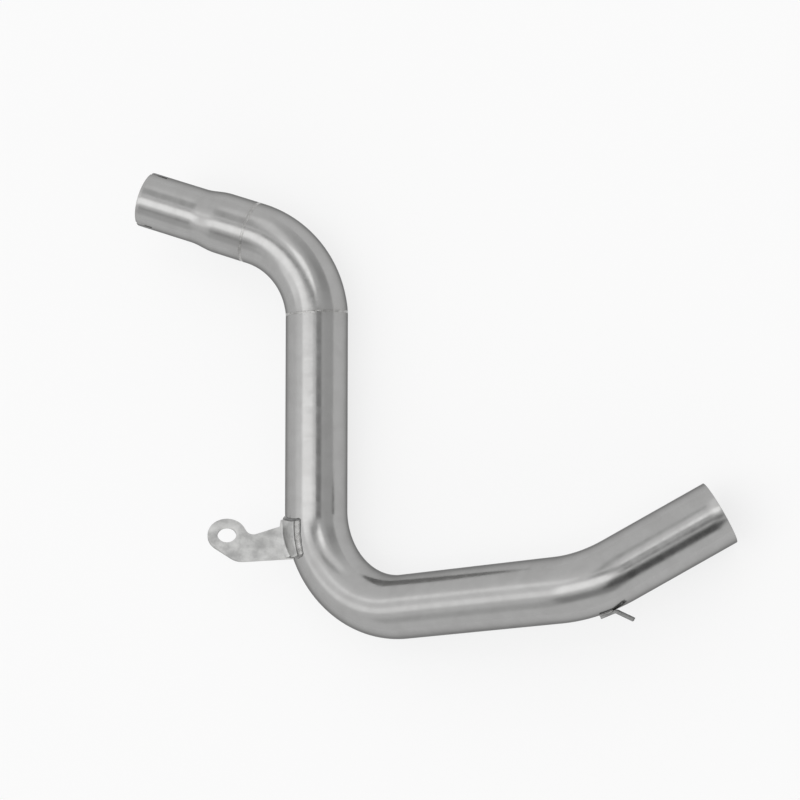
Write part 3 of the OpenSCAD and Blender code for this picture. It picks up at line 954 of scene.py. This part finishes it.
@dataclass(frozen=True)
class Bead:
    """A rippled weld bead that runs along an edge on a bent tube.

    lag is how far the ripples trail at the toe, fullness the power that rounds the section, and
    bluntness the share of the run-out at which the ends begin. The spreads are of height and
    width along the bead.
    """

    surface: BendSurface
    scale: tuple[float, float]
    height: float
    ripple: float = 0.16 * MM
    ripple_pitch: float = 1.5 * MM
    lag: float = 1.2 * MM
    fullness: float = 0.8
    height_spread: float = 0.06
    width_spread: float = 0.05
    uneven_points: int = 24
    toe_shade: float = 0.85
    across: int = 14
    sunk: float = 0.2 * MM
    run_out: float = 2.2 * MM
    bluntness: float = 0.02
    ease: Callable[[np.ndarray, np.ndarray], tuple[np.ndarray, np.ndarray]] | None = None

    def build(self, name: str, edge: np.ndarray, away: np.ndarray, width: np.ndarray,
              phase: float = 0.0, scorch: np.ndarray | float = 0.0) -> bpy.types.Object:
        """Builds the bead.

        Across the bead its height is h (1 - q²)^f, with the fullness f, from the sheet to the
        toe. Along it, curved ripples follow cos(2π (s + k q²) / pitch), with the lag k, and both
        ends run out on a quarter circle.

        Args:
            name: name of the new object.
            edge: points of the sheet's edge, as lengths along the bend and round the tube.
            away: directions away from the sheet, in the same flat measure.
            width: width of the bead at each point.
            phase: shift of the ripples.
            scorch: how dark the bead is at each point, from heat tint and painted shade, besides the
                painted shade at its toe.

        Returns:
            The new object.
        """
        step = np.linalg.norm(np.diff(edge + away * width[:, None] / 2, axis=0), axis=1)
        run = np.concatenate([[0], np.cumsum(step)])
        to_end = np.clip(np.minimum(run, run[-1] - run) / self.run_out, self.bluntness, 1)
        taper = np.sqrt(1 - (1 - to_end) ** 2)
        q = np.linspace(0, 1, self.across)
        lag = self.lag * q * q
        count = self.uneven_points
        noise = np.random.default_rng(SEED).normal(0, 1, count)
        uneven = np.interp(run, np.linspace(0, run[-1], count), noise)
        wave = np.cos(2 * np.pi * (run[:, None] + lag) / self.ripple_pitch + phase
                      + uneven[:, None])
        shape = (1 - q * q) ** self.fullness
        rise = (self.height * taper * (1 + self.height_spread * uneven))[:, None] * shape
        rise = rise + self.ripple * wave * taper[:, None] * np.sqrt(shape) * (1 - 0.5 * q)
        reach = (width * taper * (1 + self.width_spread * uneven))[:, None] * q
        reach = np.concatenate([reach, reach[:, -1:], reach[:, :1]], axis=1)
        rise = np.concatenate([rise, np.full((len(run), 2), -self.sunk)], axis=1)
        flat = edge[:, None, :] + away[:, None, :] * reach[..., None]
        bend, side = flat[..., 0] / self.scale[0], flat[..., 1] / self.scale[1]
        if self.ease:
            bend, side = self.ease(bend, side)
        points = self.surface.points(bend, side, rise)
        rows, columns = points.shape[:2]
        # Painted shade: the bead darkens towards its toe, where it meets the tube, at its sunk rows
        # and at its run-out ends.
        toe = np.concatenate([q ** 6, [1, 1]])
        seam = np.maximum(np.broadcast_to(toe, (rows, columns)), (1 - taper)[:, None])
        seam = np.maximum(seam, np.broadcast_to(scorch, (rows,))[:, None])
        return build_mesh(name, points.reshape(-1, 3), *strip_faces(rows, columns),
                          {SEAM: self.toe_shade * seam.ravel()})


def flat_scale(bend_radius: float, tube_radius: float, side: float) -> tuple[float, float]:
    """Metres to a degree, along a bend at one side of the tube and round the tube."""
    reach = bend_radius - tube_radius * np.cos(np.radians(side))
    return float(np.radians(reach)), float(np.radians(tube_radius))


def softened_copy(node: str, name: str, edge: float) -> bpy.types.Object:
    """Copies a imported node, joins its triangles into whole faces and rounds its edges.

    Args:
        node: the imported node.
        name: name of the new object.
        edge: width of the rounding.

    Returns:
        The new object.
    """
    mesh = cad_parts[node].data.copy()
    mesh.name = name
    edit = bmesh.new()
    edit.from_mesh(mesh)
    bmesh.ops.remove_doubles(edit, verts=edit.verts, dist=CAD_SAME_PLACE)
    bmesh.ops.dissolve_limit(edit, angle_limit=np.radians(CAD_FLAT), verts=edit.verts,
                             edges=edit.edges)
    bmesh.ops.recalc_face_normals(edit, faces=edit.faces)
    edit.to_mesh(mesh)
    edit.free()
    piece = add_object(name, mesh)
    smooth_faces(mesh)
    rounding = piece.modifiers.new("rounded_edges", "BEVEL")
    rounding.width = edge
    rounding.segments = ROUNDING_STEPS
    rounding.limit_method = "ANGLE"
    rounding.angle_limit = np.radians(ROUNDED_FROM)
    rounding.harden_normals = True
    return piece


@dataclass
class FrontBracket:
    """The saddle bracket: its sheet, the soft fold where the arm leaves the saddle, its weld.

    still is how many degrees round the tube, beside the arm, the shear of the saddle spares.
    """

    layout: Layout
    sheet: float = 3 * MM
    station: float = 14.5
    side: float = 145.5
    lean: float = 18
    turn: float = 118
    eye_reach: float = 56 * MM
    saddle_start: float = 4.5
    saddle_end: float = 23.5
    saddle_edge: float = 103
    side_bead: float = 12
    end_bead: float = 1.6
    bead_height: float = 2.2 * MM
    top_past: float = 4
    end_short: float = 24
    rounding: float = 0.8 * MM
    fold: float = 4 * MM
    fold_rows: int = 40
    fold_columns: int = 12
    fold_inset: float = 0.3
    fold_sunk: float = 0.3 * MM
    edge_at_top: float = -6.5
    edge_at_end: float = 3
    edge_drop: float = 1.9
    still: float = 6
    leg_steps: int = 90
    corner_steps: int = 20
    # darkness of the bead's top and end legs: heat tint and painted shade
    scorch_at_top: float = 0.85
    scorch_at_end: float = 0.5

    def build(self, sheet: bpy.types.Material, weld: bpy.types.Material) -> None:
        """Builds and dresses the bracket and its weld."""
        piece = softened_copy("front_bracket", "saddle_bracket", self.rounding)
        self.ease_mesh(piece.data)
        finish_piece(piece, Slot.SHEET, sheet, "front_bracket")
        finish_piece(self.fold_strip(), Slot.SHEET, sheet, "front_bracket")
        finish_piece(self.bead(), Slot.WELD, weld, "bracket_weld_top", "bracket_weld_side",
                     "bracket_weld_end")

    def eased(self, bend: np.ndarray, side: np.ndarray) -> tuple[np.ndarray, np.ndarray]:
        """Shears the saddle's free edge along and round the tube, and leaves its fold alone.

        The share of the shear goes smoothly from 0 at the fold to 1 at the free edge.

        Args:
            bend: degrees of bend.
            side: degrees round the tube.

        Returns:
            The new degrees of bend and degrees round the tube.
        """
        spared = self.side - self.still
        share = 1 - smooth_step((side - self.saddle_edge) / (spared - self.saddle_edge))
        down = (bend - self.saddle_start) / (self.saddle_end - self.saddle_start)
        turned = self.edge_at_top + (self.edge_at_end - self.edge_at_top) * down
        return bend + self.edge_drop * share, side + turned * share

    def ease_mesh(self, mesh: bpy.types.Mesh) -> None:
        """Moves a mesh's points as the saddle is sheared.

        A point's degrees of bend are atan2(z, R - x), its degrees round the tube
        atan2(y, R - q) and its height √(y² + (R - q)²) - r, where q = √((R - x)² + z²).

        Args:
            mesh: the bracket's own mesh.
        """
        surface = self.surface()
        points = np.empty(len(mesh.vertices) * 3)
        mesh.vertices.foreach_get("co", points)
        points = points.reshape(-1, 3)
        local = (points - surface.base[:3, 3]) @ surface.base[:3, :3]
        x = surface.bend_radius - local[:, 0]
        q = np.hypot(x, local[:, 2])
        bend = np.degrees(np.arctan2(local[:, 2], x))
        side = np.degrees(np.arctan2(local[:, 1], surface.bend_radius - q))
        height = np.hypot(local[:, 1], surface.bend_radius - q) - surface.tube_radius
        near = height < self.sheet + MM / 2
        moved = surface.points(*self.eased(bend, side), height)
        points[near] = moved[near]
        mesh.vertices.foreach_set("co", points.ravel())
        mesh.update()

    def surface(self) -> BendSurface:
        """Outside of the tube on the lower bend."""
        sizes = self.layout.sizes
        return BendSurface(self.layout.lower, sizes.bend_radius, sizes.tube_radius)

    def arm_frame(self) -> np.ndarray:
        """Frame of the arm, with the eye at its origin and its front face in the XY plane."""
        sizes = self.layout.sizes
        foot = round_bend(self.layout.lower, sizes.bend_radius, self.station) @ turn_z(self.side)
        foot = foot @ shift(sizes.tube_radius + self.sheet)
        return foot @ turn_y(self.lean) @ turn_x(self.turn) @ shift(self.eye_reach)

    def fold_strip(self) -> bpy.types.Object:
        """Builds the hollow of the fold.

        At each degree of bend the saddle's outer circle meets the arm's face where
        A + B cos t + C sin t = 0. From there the section runs back along the saddle and up the
        arm, and a curve (1-t)² S + 2t(1-t) P + t² A joins the two.

        Returns:
            The new object.
        """
        surface, arm = self.surface(), self.arm_frame()
        normal, origin = arm[:3, 2], arm[:3, 3]
        bend = np.linspace(self.saddle_start + self.fold_inset, self.saddle_end - self.fold_inset,
                           self.fold_rows)
        radius = surface.tube_radius + self.sheet
        centre = surface.points(bend, np.zeros(bend.shape), -surface.tube_radius)
        along_x = surface.points(bend, np.zeros(bend.shape), self.sheet) - centre
        along_y = surface.points(bend, np.full(bend.shape, 90.0), self.sheet) - centre
        a, b, c = (centre - origin) @ normal, along_x @ normal, along_y @ normal
        swing = np.arccos(np.clip(-a / np.hypot(b, c), -1, 1))
        both = np.degrees(np.arctan2(c, b)[None, :] + np.array([[1], [-1]]) * swing) % 360
        nearest = np.argmin(np.abs(both - self.side), axis=0)
        meet = both[nearest, np.arange(len(bend))]
        corner = surface.points(bend, meet, self.sheet)
        on_saddle = surface.points(bend, meet - np.degrees(self.fold / radius), self.sheet)
        up = unit(np.cross(normal, np.gradient(corner, axis=0)))
        up = up * np.sign(np.sum(up * (corner - centre), axis=1))[:, None]
        on_arm = corner + self.fold * up
        t = np.linspace(0, 1, self.fold_columns)[None, :, None]
        curve = ((1 - t) ** 2 * on_saddle[:, None] + 2 * t * (1 - t) * corner[:, None]
                 + t * t * on_arm[:, None])
        inward = unit(surface.points(bend, meet, 0 * bend) - corner)
        sunk = corner + self.fold_sunk * unit(inward - normal)
        points = np.concatenate([curve, sunk[:, None]], axis=1)
        piece = build_mesh("bracket_fold", points.reshape(-1, 3), *strip_faces(*points.shape[:2]))
        piece.data.set_sharp_from_angle(angle=np.radians(WELD_CRISP))
        return piece

    def bead(self) -> bpy.types.Object:
        """Builds the weld that runs round three sides of the saddle.

        Its path is three straight lines in flat measure. At the saddle's corners the path stays
        and only its direction turns, so the toe goes round them. The legs above and below the
        saddle are darkened, as heat tint and as painted shade under the saddle's edges, and the
        one at its side is bright.

        Returns:
            The new object.
        """
        surface = self.surface()
        scale = flat_scale(surface.bend_radius, surface.tube_radius, self.saddle_edge)
        corners = np.array([[self.saddle_start, self.side + self.top_past],
                            [self.saddle_start, self.saddle_edge],
                            [self.saddle_end, self.saddle_edge],
                            [self.saddle_end, self.side - self.end_short]]) * scale
        widths = np.array([self.end_bead * scale[0], self.side_bead * scale[1],
                           self.end_bead * scale[0]])
        headings = np.radians([180, 270, 360])
        edge, heading, width = [], [], []
        for leg in range(3):
            t = np.linspace(0, 1, self.leg_steps)[:, None]
            edge.append(corners[leg] * (1 - t) + corners[leg + 1] * t)
            heading.append(np.full(self.leg_steps, headings[leg]))
            width.append(np.full(self.leg_steps, widths[leg]))
            if leg < 2:
                turn = np.linspace(0, 1, self.corner_steps)[1:-1]
                edge.append(np.repeat(corners[leg + 1][None], len(turn), axis=0))
                heading.append(headings[leg] + (headings[leg + 1] - headings[leg]) * turn)
                width.append(widths[leg] + (widths[leg + 1] - widths[leg]) * smooth_step(turn))
        heading = np.concatenate(heading)
        away = np.stack([np.cos(heading), np.sin(heading)], axis=-1)
        edge = np.concatenate(edge)
        at_side, past_side = np.radians(269), np.radians(280)
        # Heat tint and painted shade: the top and end legs are darkened, the side leg is not.
        scorch = np.where(heading > at_side, 0.0, self.scorch_at_top)
        scorch = np.where(heading > past_side, self.scorch_at_end, scorch)
        bead = Bead(surface, scale, self.bead_height, ease=self.eased)
        return bead.build("bracket_weld_bead", edge, away, np.concatenate(width), scorch=scorch)


@dataclass
class RearTab:
    """The folded strip on the rear bend and its two welds."""

    layout: Layout
    width: float = 12 * MM
    foot: float = 13 * MM
    station: float = 26
    side: float = 234
    rounding: float = 0.4 * MM
    bead: float = 2.4 * MM
    bead_rise: float = 0.8
    bead_run_out: float = 1.6 * MM
    bead_steps: int = 60

    def build(self, sheet: bpy.types.Material, weld: bpy.types.Material) -> None:
        """Builds and dresses the strip and its welds."""
        piece = softened_copy("rear_tab", "folded_rear_tab", self.rounding)
        finish_piece(piece, Slot.SHEET, sheet, "rear_tab")
        sizes = self.layout.sizes
        surface = BendSurface(self.layout.rear, sizes.bend_radius, sizes.tube_radius)
        scale = flat_scale(surface.bend_radius, surface.tube_radius, self.side)
        half = np.arcsin(self.width / 2 / sizes.tube_radius) * sizes.tube_radius
        for sign, node in ((1, "tab_weld_near"), (-1, "tab_weld_far")):
            along = self.station * scale[0] - np.linspace(0, self.foot, self.bead_steps)
            round_tube = np.full(self.bead_steps, self.side * scale[1] + sign * half)
            away = np.tile([0.0, float(sign)], (self.bead_steps, 1))
            bead = Bead(surface, scale, self.bead * self.bead_rise, run_out=self.bead_run_out)
            piece = bead.build(f"{node}_bead", np.stack([along, round_tube], axis=-1), away,
                               np.full(self.bead_steps, self.bead), phase=float(sign))
            finish_piece(piece, Slot.WELD, weld, node)


@dataclass(frozen=True)
class Panel:
    """A soft light or dark card in the studio, by degrees right of and above its front."""

    right: float
    above: float
    half_width: float
    half_height: float
    softness: float
    level: float


@dataclass(frozen=True)
class Studio:
    """White studio: camera, surround and floor."""

    eye: tuple[float, float, float] = (0.82872, -0.07628, 1.92540)
    look: tuple[float, float, float] = (-0.41269, 0.03647, -0.91015)
    up: tuple[float, float, float] = (0.01322, 0.99932, 0.03399)
    lens: float = 99
    sensor: float = 36
    farthest: float = 50
    surround: float = 0.92
    floor_size: float = 12.0
    floor_colour: float = 0.9
    floor_glow: float = 0.75
    panels: tuple[Panel, ...] = (
        Panel(85, 25, 65, 40, 18, 0.66),
        Panel(48, 32, 18, 10, 8, 0.52),
        Panel(-38, 13, 38, 22, 14, 1.08),
        Panel(-8, 48, 14, 16, 6, 1.2),
        Panel(-26, 36, 7, 12, 4, 0.62),
        Panel(-15, -37, 40, 11, 6, 0.4),
        Panel(-62, 19, 20, 5, 3, 1.4),
        Panel(1, 25, 9, 8, 3, 2.0),
        Panel(-14, 13, 15, 5, 3, 0.5),
        Panel(-64, -42, 14, 9, 6, 0.7),
        Panel(-64, -9, 14, 8, 4, 1.4),
        Panel(-32, -4, 20, 11, 4, 1.8),
        Panel(-6, -5, 12, 7, 4, 1.7),
        Panel(10, 3, 10, 6, 3, 0.3),
        Panel(13, -21, 16, 12, 5, 0.12),
    )

    def build(self) -> None:
        """Builds the studio round the part."""
        self.camera()
        self.world()
        self.floor()
        bpy.context.scene.view_settings.view_transform = "Standard"

    def axes(self) -> tuple[Vector, Vector, Vector]:
        """The studio's front, right and upward directions, all at right angles."""
        front = -Vector(self.look).normalized()
        right = Vector(self.up).cross(front).normalized()
        return front, right, front.cross(right)

    def camera(self) -> None:
        """Sets the camera at the photograph's viewing angle."""
        front, right, above = self.axes()
        lens = bpy.data.cameras.new("camera")
        lens.lens = self.lens
        lens.sensor_width = self.sensor
        lens.clip_end = self.farthest
        viewer = add_object("camera", lens)
        turn = Matrix((right, above, front)).transposed().to_4x4()
        viewer.matrix_world = Matrix.Translation(self.eye) @ turn
        bpy.context.scene.camera = viewer

    def card_group(self) -> bpy.types.NodeTree:
        """Group that paints one soft card over a shade.

        The card is 1 inside its half width and height and falls away over its softness.

        Returns:
            Group with inputs Shade, Right, Above, the card's values, and output Shade.
        """
        titles = ["Shade", "Right", "Above", "Card Right", "Card Above", "Half Width",
                  "Half Height", "Softness", "Level"]
        tree, given, result = new_group("soft_card", [(t, NUMBER) for t in titles],
                                        [("Shade", NUMBER)])
        covers = []
        for place, card, half in (("Right", "Card Right", "Half Width"),
                                  ("Above", "Card Above", "Half Height")):
            apart = tree.math("ABSOLUTE", tree.math("SUBTRACT", given.outputs[place],
                                                    given.outputs[card]))
            near = tree.math("SUBTRACT", given.outputs[half], given.outputs["Softness"])
            far = tree.math("ADD", given.outputs[half], given.outputs["Softness"])
            covers.append(tree.ramp(apart, near, far, 1.0, 0.0))
        cover = tree.math("MULTIPLY", covers[0], covers[1])
        gain = tree.math("SUBTRACT", given.outputs["Level"], given.outputs["Shade"])
        shade = tree.math("ADD", given.outputs["Shade"], tree.math("MULTIPLY", cover, gain))
        tree.tree.links.new(shade, result.inputs["Shade"])
        return tree.tree

    def world(self) -> None:
        """Paints the surround: one pale shade with the studio's soft cards over it."""
        world = bpy.data.worlds.new("studio")
        world.use_nodes = True
        bpy.context.scene.world = world
        tree = NodeTree(world.node_tree)
        direction = tree.add("ShaderNodeTexCoord").outputs["Generated"]
        parts = []
        for axis in self.axes():
            node = tree.add("ShaderNodeVectorMath", {"operation": "DOT_PRODUCT"}, i0=direction,
                            i1=tuple(axis))
            parts.append(node.outputs["Value"])
        to_degrees = 180 / np.pi
        right = tree.math("MULTIPLY", tree.math("ARCTAN2", parts[1], parts[0]), to_degrees)
        above = tree.math("MULTIPLY", tree.math("ARCSINE", parts[2]), to_degrees)
        card = self.card_group()
        shade = self.surround
        for panel in self.panels:
            node = tree.add("ShaderNodeGroup", {"node_tree": card}, Shade=shade, Right=right,
                            Above=above, Card_Right=panel.right, Card_Above=panel.above,
                            Half_Width=panel.half_width, Half_Height=panel.half_height,
                            Softness=panel.softness, Level=panel.level)
            shade = node.outputs["Shade"]
        light = tree.add("ShaderNodeBackground", Color=(1, 1, 1, 1), Strength=shade)
        tree.add("ShaderNodeOutputWorld", Surface=light.outputs[0])

    def floor(self) -> None:
        """Lays the pale floor, which glows a little for what the camera and the metal see."""
        half = self.floor_size / 2
        corners = np.array([[-half, -half, 0], [half, -half, 0], [half, half, 0], [-half, half, 0]])
        mesh = bpy.data.meshes.new("floor")
        mesh.from_pydata(corners.tolist(), [], [[0, 1, 2, 3]])
        floor = add_object("floor", mesh)
        look, tree = new_material("pale_floor")
        path = tree.add("ShaderNodeLightPath")
        seen = tree.math("MAXIMUM", path.outputs["Is Camera Ray"], path.outputs["Is Glossy Ray"])
        seen = tree.math("MAXIMUM", seen, path.outputs["Is Transmission Ray"])
        glow = tree.add("ShaderNodeEmission", Color=(1, 1, 1, 1), Strength=1.0)
        grey = (self.floor_colour,) * 3
        matt = tree.add("ShaderNodeBsdfDiffuse", Color=(*grey, 1))
        both = tree.add("ShaderNodeMixShader", i1=matt.outputs[0], i2=glow.outputs[0],
                        i0=tree.math("MULTIPLY", seen, self.floor_glow))
        tree.add("ShaderNodeOutputMaterial", Surface=both.outputs[0])
        mesh.materials.append(look)


def dress_catalyst(foil: bpy.types.Material, weld: bpy.types.Material) -> None:
    """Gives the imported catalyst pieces, which keep their own meshes, their finish."""
    for node, look in (("catalyst_mantle", foil), ("catalyst_honeycomb", foil),
                       ("mantle_weld", weld)):
        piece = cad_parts[node]
        coat(piece, look)
        LOG.info("%s: kept, %d faces", node, len(piece.data.polygons))


def write_sizes() -> None:
    """Updates the view layer."""
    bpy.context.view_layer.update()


def main() -> None:
    """Builds and dresses every piece in order."""
    logging.basicConfig(level=logging.INFO, format="%(name)s: %(message)s")
    groups = {"polish": polish_group(), "mottle": mottle_group()}
    tube = TUBE_FINISH.material(groups)
    sheet = SHEET_FINISH.material(groups)
    weld = WELD_FINISH.material(groups)
    foil = CATALYST_FINISH.material(groups)
    layout = Layout(PipeSizes())
    BentTubes(layout).build(tube, weld)
    InletStub(layout).build(tube)
    FrontBracket(layout).build(sheet, weld)
    RearTab(layout).build(TAB_FINISH.material(groups), weld)
    dress_catalyst(foil, weld)
    Studio().build()
    write_sizes()


if __name__ == "__main__":
    main()
